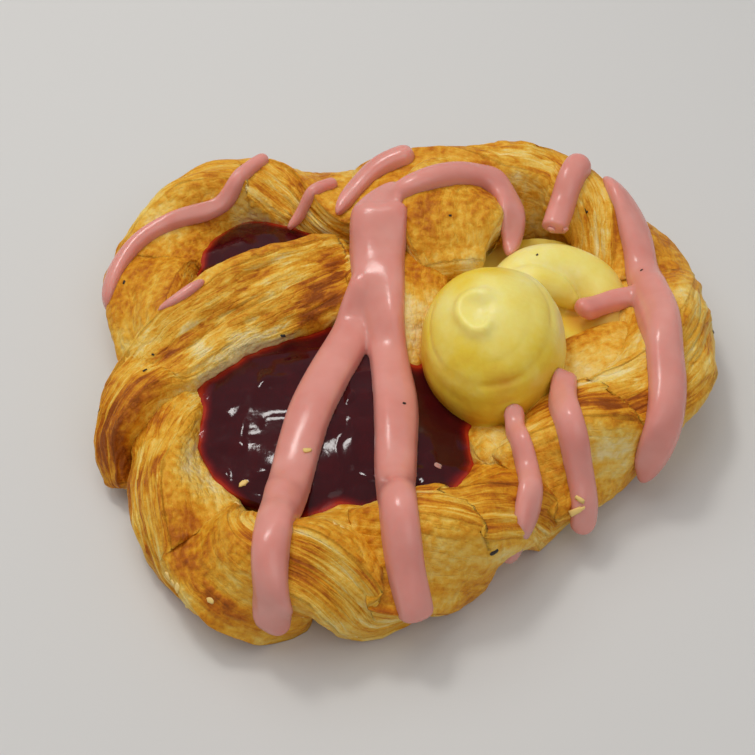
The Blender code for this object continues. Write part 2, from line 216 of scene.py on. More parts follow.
# Where the oven browned the dough more than elsewhere, and less, where it was covered or kept moist by
# the fillings. Some darker marks are painted shade rather than browning: the band under the hood lip at
# the left corner, the crease at the right front and the hollow under the back arch. Place about the
# crossing, radius and how much.
BROWNING_AND_PAINTED_SHADE_MARKS = [
    (-51.1, -2.2, 16, 6.5, 0.18),
    (-57.6, -8.3, 13, 6, 0.21),
    (-58.1, -13.4, 9, 5, 0.21),
    (-13.5, 31.5, 22, 4.5, 0.30),
    (-15.5, 25.0, 19, 5.5, 0.36),
    (-17.5, 20.5, 15, 5.5, 0.36),
    (-21.0, 17.5, 14, 4, 0.30),
    (-44.9, 5.9, 23, 4, 0.13),
    (-32.2, 26.3, 25, 6, 0.08),
    (-51.7, 22.9, 17, 9, 0.09),
    (-38.7, -37.0, 17, 7, 0.13),
    (-35.5, -38.6, 11, 5, 0.12),
    (-45.7, -20.0, 14, 5, 0.09),
    (-35.3, -47.6, 6, 9, 0.11),
    (-19.8, -47.2, 6, 8, 0.09),
    (9.4, -37.4, 15, 8, 0.1),
    (14.9, -40.0, 7, 7, 0.14),
    (32.9, -9.4, 18, 5, 0.34),
    (38.7, -10.2, 18, 5, 0.42),
    (45.9, -8.1, 17, 5, 0.38),
    (62.4, 14.6, 11, 8, 0.15),
    (28.2, 49.8, 23, 5, 0.2),
    (34.9, 50.5, 23, 4.5, 0.18),
    (41.3, 47.1, 20, 2.2, 0.28),
    (9.7, 37.2, 31, 6, -0.06),
    (15.9, 34.3, 30, 5, -0.02),
    (3.3, 33.2, 29, 5, 0.0),
    (-34.3, 11.0, 12, 8, -0.34),
    (-25.0, 14.3, 12, 6, -0.25),
    (-42.0, 6.5, 12, 6, -0.25),
    (-49.8, -14.0, 15, 5, -0.22),
    (-36.5, -20.2, 17, 9, -0.36),
    (-39.5, -44.4, 12, 4, -0.26),
    (-12.3, -44.2, 15, 4, -0.24),
    (-15.2, -45.9, 8, 3.5, -0.3),
    (39.5, -16.4, 13, 6, -0.24),
    (37.0, 1.3, 18, 8, -0.34),
    (47.5, 5.3, 18, 6, -0.22),
    (57.9, 21.0, 19, 7, -0.2),
    (2.2, 16.3, 17, 9, -0.42),
    (14.0, 26.8, 27, 6, -0.3),
    (-33.1, 44.4, 14, 9, -0.24),
    (18.4, -12.0, 13, 7, -0.3),
]


def noise(points, seed=0):
    """Smooth chance values from -1 to 1 over space, about one bump to each unit of length."""
    points = np.asarray(points, float)
    cell = np.floor(points).astype(np.int64)
    part = points - cell
    fade = part * part * part * (part * (part * 6 - 15) + 10)
    total = np.zeros(points.shape[:-1])
    for corner in product((0, 1), repeat=3):
        spot = cell + np.array(corner)
        mixed = (spot[..., 0] * 73856093) ^ (spot[..., 1] * 19349663) ^ (spot[..., 2] * 83492791) ^ (seed * 40503 + 977)
        mixed = (mixed ^ (mixed >> 15)) * 2246822519 & 0xFFFFFFFF
        mixed = (mixed ^ (mixed >> 13)) * 3266489917 & 0xFFFFFFFF
        mixed ^= mixed >> 16
        share = np.where(np.array(corner), fade, 1 - fade).prod(axis=-1)
        total += share * ((mixed & 0xFFFF) / 32767.5 - 1)
    return total


def flat_noise(u, v, seed=0):
    """The same over two coordinates."""
    u, v = np.broadcast_arrays(u, v)
    return noise(np.stack([u, v, np.full(u.shape, 0.37)], axis=-1), seed)


def eased(value, low, high):
    """0 below low, 1 above high, and a soft step between."""
    share = np.clip((value - low) / (high - low), 0, 1)
    return share * share * (3 - 2 * share)


def smooth_rows(rows, steps, closed=False):
    """Rows of numbers read at even places along a smooth curve through the given ones."""
    rows = np.array(rows, float)
    if closed:
        turn = np.zeros(rows.shape[1])
        turn[5:] = RING_TURNS
        padded = np.vstack([rows[-1] - turn, rows, rows[0] + turn, rows[1] + turn])
    else:
        padded = np.vstack([rows[0], rows, rows[-1]])
    gaps = len(padded) - 3
    place = np.arange(steps if closed else steps + 1) / steps * gaps
    gap = np.minimum(place.astype(int), gaps - 1)
    t = (place - gap)[:, None]
    a, b, c, d = (padded[gap + k] for k in range(4))
    return 0.5 * (2 * b + (c - a) * t + (2 * a - 5 * b + 4 * c - d) * t**2 + (3 * b - a - 3 * c + d) * t**3)


def unit(vectors):
    return vectors / np.linalg.norm(vectors, axis=-1, keepdims=True)


def new_mesh(name, points, faces, layers=None):
    """A mesh in metres from points in millimetres about the crossing, with one value or vector of each layer to a point."""
    mesh = bpy.data.meshes.new(name)
    mesh.from_pydata(((np.asarray(points) + np.array(CROSSING)) * MM).tolist(), [], faces)
    for key, values in (layers or {}).items():
        kind, field = ("FLOAT_VECTOR", "vector") if values.ndim == 2 else ("FLOAT", "value")
        mesh.attributes.new(key, kind, "POINT").data.foreach_set(field, values.astype(np.float32).ravel())
    mesh.shade_smooth()
    return mesh


def skin_faces(rows, sides, closed):
    """The faces of a tube of rows of points. An open tube has one more point at each end, after all the rows."""
    faces = []
    for row in range(rows if closed else rows - 1):
        here, there = row * sides, (row + 1) % rows * sides
        for i in range(sides):
            j = (i + 1) % sides
            faces.append((here + i, here + j, there + j, there + i))
    if not closed:
        first, last, top = rows * sides, rows * sides + 1, (rows - 1) * sides
        for i in range(sides):
            j = (i + 1) % sides
            faces.append((j, i, first))
            faces.append((top + i, top + j, last))
    return faces


def leaves(height, along, edge, seed):
    """How far the leaves of a cut edge stand out at a height in the strip's thickness, how open their clefts are, and which leaf it is."""
    warp = 0.7 * flat_noise(along / 16, edge * 3.1, seed) + 0.35 * flat_noise(along / 5, edge * 7.7 + height / 4, seed)
    count = height / LEAF + 0.4 * np.sin(height * 0.8 + edge) + warp
    leaf = np.floor(count)
    phase = count - leaf

    def stand_of(which):
        return (
            0.34 * flat_noise(which * 3.7 + edge * 11, along / 10, seed)
            + 0.16 * flat_noise(which * 5.3, along / 3.2, seed + 1)
            + 0.55 * eased(flat_noise(which * 4.1 + edge, along / 5, seed + 11), 0.45, 0.8)
        )

    stand = stand_of(leaf)
    stand = stand + (stand_of(leaf + 1) - stand) * eased(phase, 0.6, 1.0)
    stand += 0.5 * flat_noise(height / 4.5 + edge * 5, along / 12, seed + 12)
    # Each leaf is itself a pack of thin ones, which show as fine lines where the leaf has opened.
    thin = count * 3.3 + 0.6 * flat_noise(along / 4, height * 2, seed + 13)
    stand += 0.05 * np.cos(2 * math.pi * thin) * eased(flat_noise(height / 3 + edge, along / 7, seed + 14), -0.2, 0.4)
    open_share = eased(flat_noise(leaf * 2.9 + edge * 5, along / 7, seed + 2), -0.1, 0.6)
    cleft = open_share * np.exp(-((np.minimum(phase, 1 - phase) / 0.16) ** 2))
    return stand, cleft, leaf


def strand(name, rows, steps, seed, closed=False):
    """A length of the twisted strip with its leaves and its blistered skin, as a closed mesh."""
    table_rows = smooth_rows(rows, steps, closed)
    place, lift, width, thick, roll = np.split(table_rows, [2, 3, 4, 5], axis=1)
    roll = np.radians(roll)
    angle = np.arange(ROPE_SIDES) / ROPE_SIDES * 2 * math.pi
    c, s = np.cos(angle), np.sin(angle)
    reach = (c**4 + s**4) ** -0.25
    share_a, share_b = c * reach, s * reach
    a, b = width / 2 * share_a, thick / 2 * share_b
    half_height = (a * np.sin(roll) + b * np.cos(roll)).max(axis=1, keepdims=True)
    centre = np.hstack([place, lift + half_height - TRAY_CUT])
    if closed:
        along = unit(np.roll(centre, -1, 0) - np.roll(centre, 1, 0))
    else:
        along = unit(np.gradient(centre, axis=0))
    across = unit(np.cross(along, (0, 0, 1)))
    up = np.cross(across, along)
    travel = np.concatenate([[0], np.linalg.norm(np.diff(centre, axis=0), axis=1).cumsum()])[:, None]
    shrink, cap = np.ones((len(a), 1)), np.zeros((len(a), 1))
    if not closed:
        # An open end is rounded off over a few more rows that shrink towards its middle.
        share = np.arange(1, END_ROWS + 1)[:, None] / (END_ROWS + 1)
        depth = 0.85 * min(width[-1, 0], thick[-1, 0]) / 2
        turned = (1 - share**2.2) ** (1 / 2.2)
        for end in (0, -1):
            way = -along[0] if end == 0 else along[-1]
            extra = [
                centre[end] + way * depth * share,
                np.repeat(across[end : end + 1 or None], END_ROWS, 0),
                np.repeat(up[end : end + 1 or None], END_ROWS, 0),
                np.repeat(a[end : end + 1 or None], END_ROWS, 0),
                np.repeat(b[end : end + 1 or None], END_ROWS, 0),
                np.repeat(roll[end : end + 1 or None], END_ROWS, 0),
                travel[end] + share * depth * (-1 if end == 0 else 1),
                turned,
                share * (-1 if end == 0 else 1),
                np.repeat(along[end : end + 1 or None], END_ROWS, 0),
            ]
            kept = [centre, across, up, a, b, roll, travel, shrink, cap, along]
            if end == 0:
                kept = [np.vstack([more[::-1], old]) for more, old in zip(extra, kept)]
            else:
                kept = [np.vstack([old, more]) for more, old in zip(extra, kept)]
            centre, across, up, a, b, roll, travel, shrink, cap, along = kept
    edge = np.sign(share_a)[None, :]
    face = np.sign(share_b)[None, :] * 2
    on_cut = eased(np.abs(share_a), 0.83, 0.96)[None, :] * np.ones_like(a)
    on_flat = eased(np.abs(share_b), 0.80, 0.95)[None, :]
    stand, cleft, leaf = leaves(b * shrink, travel, edge, seed)
    # The skin of the flats: blisters, creases drawn out along the strip, and curled lips at its corners.
    blister = np.maximum(0, flat_noise(a / 2.6 + face * 9, travel / 3.1, seed + 3)) ** 1.5
    crease = flat_noise(a / 1.1 + 0.8 * flat_noise(a / 5, travel / 9, seed), travel / 14, seed + 4)
    drawn = eased(flat_noise(a / 14 + face, travel / 22, seed + 5), -0.3, 0.4)
    lip = np.exp(-(((np.abs(share_a) - 0.86) / 0.07) ** 2))[None, :] * eased(
        flat_noise(edge * 3 + face * 7, travel / 11, seed + 6), -0.2, 0.7
    )
    crumple = flat_noise(a / 1.3 + face, travel / 1.9, seed + 15)
    skin = on_flat * (0.5 * blister + 0.10 * crease * drawn + 0.16 * crumple)
    # Each leaf has browned by itself, and the flats have browned in long patches.
    tint = on_cut * (0.30 * flat_noise(leaf * 6.1 + edge * 3, travel / 8, seed + 16) - 0.10 * cleft)
    tint += (1 - on_cut) * 0.22 * flat_noise(a / 5 + face, travel / 10, seed + 17) + 0.10 * blister * on_flat
    tint += 0.16 * lip
    side = on_cut * (1 - np.abs(cap))
    push_a = np.sign(share_a) * side * (stand - 0.55 * cleft) + np.sign(share_a) * 0.75 * lip
    push_b = np.sign(share_b) * (skin + 0.55 * lip)
    local_a = a * shrink + push_a * shrink
    local_b = b * shrink + push_b * shrink
    sideways = (local_a * np.cos(roll) - local_b * np.sin(roll))[..., None]
    upright = (local_a * np.sin(roll) + local_b * np.cos(roll))[..., None]
    points = centre[:, None, :] + across[:, None, :] * sideways + up[:, None, :] * upright
    end_relief = cap * eased(np.abs(cap), 0, 0.5) * (stand - 0.7 * cleft)
    points += along[:, None, :] * end_relief[..., None]
    outward = unit(points - centre[:, None, :])
    lump = 0.75 * noise(points / 12, seed + 7) + 0.35 * noise(points / 5, seed + 8) + 0.16 * noise(points / 1.7, seed + 9)
    points += outward * lump[..., None]
    on_cut = np.maximum(on_cut, np.abs(cap) * np.ones_like(a))
    grain = np.stack(
        [np.where(on_cut > 0.5, b * shrink, a * shrink * 0.8 + 20), travel * np.ones_like(a), np.full_like(a, seed * 7.0)],
        axis=-1,
    )
    count = len(points)
    tips = [] if closed else [points[0].mean(0), points[-1].mean(0)]
    every = np.vstack([points.reshape(-1, 3), *tips])

    def layer(values):
        flat = values.reshape(count * ROPE_SIDES, -1)
        if not closed:
            flat = np.vstack([flat, flat[:1], flat[-1:]])
        return flat if flat.shape[1] > 1 else flat[:, 0]

    layers = {
        "grain": layer(grain),
        "cut": layer(on_cut),
        "tint": layer(tint),
    }
    return new_mesh(name, every, skin_faces(count, ROPE_SIDES, closed), layers)


def combine(piece, operation, others):
    """Joins the others to the piece, or cuts them from it, and keeps the result as the piece's own mesh."""
    for other in others:
        modifier = piece.modifiers.new(other.name, "BOOLEAN")
        modifier.operation = operation
        modifier.object = other
        modifier.solver = "MANIFOLD"
    made = bpy.data.meshes.new_from_object(piece.evaluated_get(bpy.context.evaluated_depsgraph_get()))
    piece.modifiers.clear()
    piece.data = made
    for other in others:
        bpy.data.objects.remove(other)
    return piece


def applied(piece, kind, **settings):
    """The piece with one modifier made part of its mesh."""
    modifier = piece.modifiers.new(kind, kind)
    for key, value in settings.items():
        setattr(modifier, key, value)
    made = bpy.data.meshes.new_from_object(piece.evaluated_get(bpy.context.evaluated_depsgraph_get()))
    piece.modifiers.clear()
    piece.data = made
    return piece


def read(mesh, key, size=1):
    values = np.zeros(len(mesh.vertices) * size, np.float32)
    if key == "co":
        mesh.vertices.foreach_get("co", values)
    elif key == "normal":
        mesh.vertex_normals.foreach_get("vector", values)
    else:
        mesh.attributes[key].data.foreach_get("vector" if size == 3 else "value", values)
    return values.reshape(-1, size) if size > 1 else values


def slab(name, plan, low, high):
    """A flat plate over a plan outline."""
    count = len(plan)
    points = [(x, y, z) for z in (low, high) for x, y in plan]
    faces = [tuple(range(count))[::-1], tuple(range(count, 2 * count))]
    faces += [(i, (i + 1) % count, count + (i + 1) % count, count + i) for i in range(count)]
    layers = {
        "grain": np.array(points) * (1, 1, 0) + (0, 0, 90),
        "cut": np.zeros(2 * count),
        "tint": np.zeros(2 * count),
    }
    return new_piece(name, new_mesh(name, points, faces, layers))


crust = new_piece("twisted_crust", strand("ring", RING, 400, 1, closed=True))
lengths = [
    new_piece("inner_wall", strand("inner_wall", INNER_WALL, 100, 2)),
    new_piece("knob", strand("knob", KNOB, 30, 3)),
    new_piece("divider", strand("divider", DIVIDER, 66, 4)),
    new_piece("flap", strand("flap", FLAP, 30, 5)),
    slab("floor", smooth_rows(RING, 72, closed=True)[:, :2], -2, FLOOR_TOP),
]
combine(crust, "UNION", lengths)
combine(crust, "DIFFERENCE", [slab("tray", [(-100, -100), (100, -100), (100, 100), (-100, 100)], -30, 0)])
triangles = sum(len(p.vertices) - 2 for p in crust.data.polygons)
if triangles > CRUST_LIMIT:
    applied(crust, "DECIMATE", ratio=CRUST_LIMIT / triangles)
crust.data.shade_smooth()
spots, normals = read(crust.data, "co", 3) / MM, read(crust.data, "normal", 3)
about_crust = spots - np.array(CROSSING)
# The dough's tone: chance patches, darker where the surface faces down and low by the table, the strip's own tint, and
# the marks, some of them painted shade.
browning_and_painted_shade = 0.30 + 0.13 * noise(spots / 14, 31) + 0.09 * noise(spots / 6, 32) + 0.05 * normals[:, 2]
browning_and_painted_shade += 0.25 * eased(-normals[:, 2], 0.1, 0.9) + 0.16 * (1 - eased(about_crust[:, 2], 1, 13)) + read(crust.data, "tint")
# Marks of browning and paleness, and painted shade under the hood lip, in the right front crease and under the back
# arch.
for x, y, z, radius, amount in BROWNING_AND_PAINTED_SHADE_MARKS:
    away = np.linalg.norm((about_crust - (x, y, z)) * (1, 1, 0.7), axis=1) / radius + 0.25 * noise(spots / 3.5, 33)
    browning_and_painted_shade += amount * (1 - eased(away, 0.35, 1.25))
crust.data.attributes.new("browning_and_painted_shade", "FLOAT", "POINT").data.foreach_set("value", browning_and_painted_shade.astype(np.float32))

dough, tree, shader = new_material("baked_dough")
grain = node(tree, "ShaderNodeAttribute", attribute_name="grain")
cut = node(tree, "ShaderNodeAttribute", attribute_name="cut")
browning_and_painted_shade = node(tree, "ShaderNodeAttribute", attribute_name="browning_and_painted_shade")
place = node(tree, "ShaderNodeTexCoord")


def scaled(vector, scale):
    return node(tree, "ShaderNodeVectorMath", {0: vector, 1: scale}, operation="MULTIPLY").outputs[0]


def value_noise(vector, size, detail=2.0, rough=0.5):
    """A chance texture with bumps of about that size, in the vector's unit."""
    made = node(tree, "ShaderNodeTexNoise", {"Vector": vector, "Scale": 1 / size, "Detail": detail, "Roughness": rough})
    return made.outputs["Factor"] if "Factor" in made.outputs else made.outputs["Fac"]


def maths(operation, first, second=0.5, third=0.5):
    return node(tree, "ShaderNodeMath", {0: first, 1: second, 2: third}, operation=operation).outputs[0]


def weighted(start, *terms):
    """start plus each value less its middle, times its weight."""
    for value, weight, middle in terms:
        start = maths("ADD", start, maths("MULTIPLY", maths("SUBTRACT", value, middle), weight))
    return start


in_mm = scaled(place.outputs["Object"], (1000, 1000, 1000))
streaks = value_noise(scaled(grain.outputs["Vector"], (1, 0.16, 1)), 0.8, 3, 0.6)
wide_streaks = value_noise(scaled(grain.outputs["Vector"], (1, 0.16, 1)), 2.2, 3)
mottle = value_noise(in_mm, 3.0, 4, 0.66)
freckle = value_noise(in_mm, 0.55, 2, 0.6)


def fine_lines(across, along, shift, thinness):
    """Thin broken lines along the strip, 1 on a line and 0 between."""
    stretched = node(tree, "ShaderNodeVectorMath", {0: scaled(grain.outputs["Vector"], (1 / across, 1 / along, 1)), 1: shift}, operation="ADD")
    chance = value_noise(stretched.outputs[0], 1.0, 1.0)
    away = maths("ABSOLUTE", maths("SUBTRACT", chance, 0.5))
    return maths("MAXIMUM", maths("SUBTRACT", 1.0, maths("DIVIDE", away, thinness)), 0.0)


cream_lines = fine_lines(1.5, 11.0, (3.1, 0, 0), 0.045)
amber_lines = fine_lines(1.9, 9.0, (9.7, 4, 0), 0.055)
lines_weight = maths("ADD", 0.06, maths("MULTIPLY", cut.outputs["Fac"], 0.12))
streak_weight = maths("ADD", 0.10, maths("MULTIPLY", cut.outputs["Fac"], 0.30))
bubbles = value_noise(in_mm, 1.3, 0.0)
bubble = maths("MULTIPLY", maths("SUBTRACT", bubbles, 0.5), maths("SUBTRACT", 1.0, cut.outputs["Fac"]))
# The tone carries the browning and the painted shade of the marks.
tone = weighted(
    browning_and_painted_shade.outputs["Fac"],
    (streaks, streak_weight, 0.5),
    (wide_streaks, maths("ADD", 0.22, maths("MULTIPLY", cut.outputs["Fac"], 0.34)), 0.5),
    (mottle, 0.54, 0.5),
    (freckle, 0.26, 0.5),
    (cream_lines, maths("MULTIPLY", lines_weight, -1.0), 0.0),
    (amber_lines, lines_weight, 0.0),
    (bubble, 0.35, 0.0),
)
ramp = node(tree, "ShaderNodeValToRGB", {"Fac": tone})
stops = [
    (0.00, (0.90, 0.72, 0.32)),
    (0.22, (0.87, 0.59, 0.13)),
    (0.42, (0.81, 0.43, 0.04)),
    (0.60, (0.69, 0.28, 0.012)),
    (0.80, (0.48, 0.135, 0.006)),
    (1.00, (0.28, 0.065, 0.005)),
]
elements = ramp.color_ramp.elements
while len(elements) < len(stops):
    elements.new(0.5)
for element, (position, colour) in zip(elements, stops):
    element.position = position
    element.color = (*colour, 1)
tree.links.new(ramp.outputs["Color"], shader.inputs["Base Color"])
bump_height = weighted(
    0.0,
    (streaks, maths("MULTIPLY", cut.outputs["Fac"], 0.55), 0.5),
    (mottle, 0.35, 0.5),
    (freckle, 0.40, 0.5),
    (bubble, 0.9, 0.0),
    (cream_lines, 0.12, 0.0),
)
bump = node(tree, "ShaderNodeBump", {"Height": bump_height, "Strength": 0.8, "Distance": 0.0007})
tree.links.new(bump.outputs["Normal"], shader.inputs["Normal"])
shader.inputs["Roughness"].default_value = 0.48
shader.inputs["Specular IOR Level"].default_value = 0.18
shader.inputs["Subsurface Weight"].default_value = 0.12
shader.inputs["Subsurface Radius"].default_value = (1.0, 0.45, 0.15)
shader.inputs["Subsurface Scale"].default_value = 0.0018
crust.data.materials.clear()
crust.data.materials.append(dough)
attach(crust, "root")
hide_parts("crust")

# ---- cherry jam ----------------------------------------------------------------------------------
# Thick sour cherry jam, spooned in the two wells before baking. It has drawn together in the oven to
# a dark, lumpy, very shiny skin, and shows bright red where it runs thin against the dough.
JAM_EDGE = 11.0
FRONT_WELL = [(-47, 8), (-34, 20), (-17, 26), (0, 20), (10, 8), (15, -5), (14, -17), (8, -29), (-5, -33), (-19, -32), (-27, -26), (-38, -18)]
BACK_WELL = [(-48, 26), (-48, 44), (-36, 54), (-22, 53), (-13, 44), (-16, 34), (-28, 27), (-38, 20)]


def tree_of(*pieces):
    """The pieces' triangles as a tree, in millimetres about the crossing, for finding the nearest point."""
    points, faces = [], []
    for piece in pieces:
        start = len(points)
        points.extend(Vector(p) for p in read(piece.data, "co", 3) / MM - np.array(CROSSING))
        faces.extend([start + i for i in p.vertices] for p in piece.data.polygons)
    return BVHTree.FromPolygons(points, faces)


def puddle(name, outline, rows, around, surface_height):
    """A filling from the floor of its well up, over its plan outline."""
    plan = smooth_rows([(*spot, 0, 0, 0) for spot in outline + outline[:1]], 10)
    ring = np.array([outline[-1], *outline, outline[0], outline[1]], float)
    place = np.arange(around) / around * len(outline)
    gap = place.astype(int)
    t = (place - gap)[:, None]
    a, b, c, d = (ring[gap + k] for k in range(4))
    plan = 0.5 * (2 * b + (c - a) * t + (2 * a - 5 * b + 4 * c - d) * t**2 + (3 * b - a - 3 * c + d) * t**3)
    middle = plan.mean(0)
    share = 1 - np.arange(rows)[:, None, None] / rows
    spots = middle + (plan - middle) * share
    x, y = spots[..., 0], spots[..., 1]
    z = surface_height(x, y, share[..., 0] * np.ones_like(x))
    top = np.stack([x, y, z], axis=-1)
    base = np.column_stack([plan, np.full(around, FLOOR_TOP - 0.5)])
    points = np.vstack([base, top.reshape(-1, 3), [(*middle, FLOOR_TOP - 0.5)], top[-1:].mean(1)])
    return new_mesh(name, points, skin_faces(rows + 1, around, False))


def jam_surface(dome, seed):
    def surface_height(x, y, share):
        flat = np.stack([x, y, np.full_like(x, 0.5)], axis=-1)
        bend = np.stack([noise(flat / 8, seed + 1), noise(flat / 8, seed + 2), 0 * x], axis=-1)
        folds = 1 - np.abs(noise(flat / 6.5 + 0.5 * bend, seed + 3)) * 2
        lumps = np.maximum(0, noise(flat / 3.6 + 0.5 * bend, seed + 4))
        waves = 0.7 * noise(flat / 11, seed) + 0.20 * folds + 0.45 * lumps
        return JAM_EDGE + dome * (1 - share**2) + waves - 0.3

    return surface_height


jelly, tree, shader = new_material("cherry_jam")
thin = node(tree, "ShaderNodeAttribute", attribute_name="thin")
place = node(tree, "ShaderNodeTexCoord")
in_mm = scaled(place.outputs["Object"], (1000, 1000, 1000))
cloud = value_noise(in_mm, 5.0, 3)
depth = weighted(thin.outputs["Fac"], (cloud, 0.5, 0.5))
ramp = node(tree, "ShaderNodeValToRGB", {"Fac": depth})
stops = [(0.0, (0.045, 0.002, 0.004)), (0.4, (0.10, 0.003, 0.005)), (0.8, (0.20, 0.008, 0.005)), (1.0, (0.40, 0.028, 0.008))]
elements = ramp.color_ramp.elements
while len(elements) < len(stops):
    elements.new(0.5)
for element, (position, colour) in zip(elements, stops):
    element.position = position
    element.color = (*colour, 1)
tree.links.new(ramp.outputs["Color"], shader.inputs["Base Color"])
fine = value_noise(in_mm, 1.1, 3)
bump = node(tree, "ShaderNodeBump", {"Height": fine, "Strength": 0.10, "Distance": 0.0004})
tree.links.new(bump.outputs["Normal"], shader.inputs["Normal"])
shader.inputs["Roughness"].default_value = 0.11
shader.inputs["Specular IOR Level"].default_value = 0.33
shader.inputs["Subsurface Weight"].default_value = 0.15
shader.inputs["Subsurface Radius"].default_value = (1.0, 0.1, 0.05)
shader.inputs["Subsurface Scale"].default_value = 0.002

crust_surface = tree_of(crust)
jams = []
for name, node_name, outline, dome, seed in (
    ("jam_front_well", "jam_front", FRONT_WELL, 4.5, 51),
    ("jam_back_well", "jam_back", BACK_WELL, 3.5, 61),
):
    jam = new_piece(name, puddle(name, outline, 90, 300, jam_surface(dome, seed)), jelly)
    near = np.array([crust_surface.find_nearest(Vector(p))[3] for p in read(jam.data, "co", 3) / MM - np.array(CROSSING)])
    rim = 1 - eased(near, 0.2, 2.2)
    jam.data.attributes.new("thin", "FLOAT", "POINT").data.foreach_set("value", rim.astype(np.float32))
    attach(jam, "root")
    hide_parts(node_name)
    jams.append(jam)

# ---- custard -------------------------------------------------------------------------------------
# Baked egg custard, piped in one go with a plain nozzle: a bed, a coil that runs round the back, and
# a ball wound up on top whose last pull leaves a curled tip. It is smooth, soft and a little shiny.
CUSTARD_WELL = [(4, 15), (6, 3), (13, -6), (24, -12), (38, -3), (48, 12), (48, 32), (38, 45), (22, 46), (8, 34)]
BALL_MIDDLE = np.array((18.0, 9.5, 17.0))
BALL_SIZE = np.array((14.9, 17.3, 16.1))
BALL_POLE = Vector((-0.238, -0.202, 0.93))  # where the last turn was pinched off
COIL = [
    (21, 25, 13.5, 11),
    (27, 31, 15.5, 12.5),
    (34, 32.5, 15.5, 12.5),
    (41, 29.5, 13.5, 12.5),
    (43.5, 22, 10.5, 11),
    (39, 14, 9.0, 11),
]
INNER_COIL = [(21, 24.5, 16, 9), (27, 26.5, 18, 9), (32, 25.5, 17.5, 7), (35.5, 23.5, 16, 3.5)]


def tube(name, rows, steps, sides, seed):
    """A piped length, round in section, along rows of place and width."""
    table_rows = smooth_rows(rows, steps)
    centre, wide = table_rows[:, :3], table_rows[:, 3:4]
    along = unit(np.gradient(centre, axis=0))
    across = unit(np.cross(along, (0, 0, 1)))
    up = np.cross(across, along)
    ends = 8
    share = np.arange(1, ends + 1)[:, None] / (ends + 1) * math.pi / 2
    first = centre[0] - along[0] * wide[0] / 2 * np.sin(share[::-1])
    last = centre[-1] + along[-1] * wide[-1] / 2 * np.sin(share)
    radius = np.vstack([wide[0] / 2 * np.cos(share[::-1]), wide / 2, wide[-1] / 2 * np.cos(share)])
    across = np.vstack([np.repeat(across[:1], ends, 0), across, np.repeat(across[-1:], ends, 0)])
    up = np.vstack([np.repeat(up[:1], ends, 0), up, np.repeat(up[-1:], ends, 0)])
    centre = np.vstack([first, centre, last])
    angle = np.arange(sides) / sides * 2 * math.pi
    points = centre[:, None] + across[:, None] * (radius * np.cos(angle))[..., None] + up[:, None] * (radius * np.sin(angle))[..., None]
    points += unit(points - centre[:, None]) * (0.25 * noise(points / 6, seed))[..., None]
    every = np.vstack([points.reshape(-1, 3), centre[:1], centre[-1:]])
    return new_mesh(name, every, skin_faces(len(points), sides, False))


def custard_bed(x, y, share):
    flat = np.stack([x, y, np.full_like(x, 0.5)], axis=-1)
    return 12.0 + 2.5 * (1 - share**2) + 0.5 * noise(flat / 8, 71)


ball_rows, ball_sides = 150, 220
polar = (np.arange(1, ball_rows)[:, None] / ball_rows) ** 1.2 * math.pi
turn = np.arange(ball_sides)[None, :] / ball_sides * 2 * math.pi
pole = np.array(BALL_POLE.normalized())
right = unit(np.cross((0, 1, 0), pole))
ahead = np.cross(pole, right)
way = np.sin(polar)[..., None] * (np.cos(turn)[..., None] * right + np.sin(turn)[..., None] * ahead)
way = way + np.cos(polar)[..., None] * pole
# The turns of the piping lie on each other like the turns of a rope, and part in creases here and there.
winding = polar / 0.33 - turn / (2 * math.pi) + 0.22 * noise(way * 1.6, 72)
phase = winding - np.floor(winding)
crease = np.exp(-((np.minimum(phase, 1 - phase) / 0.09) ** 2)) * eased(noise(way * 2.2, 73), -0.25, 0.3)
in_folds = eased(noise(way * 1.5, 70) + 0.6 * (way @ (0.6, -0.7, -0.3)), -0.3, 0.3)
wound = eased(polar, 0.55, 0.95) * in_folds * (0.16 * np.abs(np.sin(math.pi * phase)) - 0.62 * crease)
# The tip of the last turn: a curled ridge that runs three quarters of the way round a small hollow.
curl_radius = 0.14 + 0.13 * np.sin(turn / 2) + 0.02 * np.sin(turn * 3)
curl = 1.15 * np.exp(-(((polar - curl_radius) / 0.085) ** 2)) * eased(turn, 0.3, 1.3) * (1 - eased(turn, 4.9, 5.9))
curl -= 0.55 * np.exp(-((polar / 0.11) ** 2))
ridge = wound + curl
swell = 0.40 * noise(way * 1.6, 74) + 0.06 * noise(way * 7, 77)
ball_points = BALL_MIDDLE + way * (BALL_SIZE + (ridge + swell)[..., None])
ball_points = np.vstack([ball_points.reshape(-1, 3), ball_points[0].mean(0), ball_points[-1].mean(0)])
custard = new_piece("custard_swirl", new_mesh("ball", ball_points, skin_faces(ball_rows - 1, ball_sides, False)))
combine(
    custard,
    "UNION",
    [
        new_piece("coil", tube("coil", COIL, 60, 48, 75)),
        new_piece("inner_coil", tube("inner_coil", INNER_COIL, 40, 40, 76)),
        new_piece("bed", puddle("bed", CUSTARD_WELL, 40, 160, custard_bed)),
    ],
)
applied(custard, "REMESH", mode="VOXEL", voxel_size=0.00045)
applied(custard, "SMOOTH", factor=0.5, iterations=5)
custard.data.shade_smooth()

about = read(custard.data, "co", 3) / MM - np.array(CROSSING)
from_tip = np.linalg.norm(about - (14.5, 6.5, 32), axis=1)
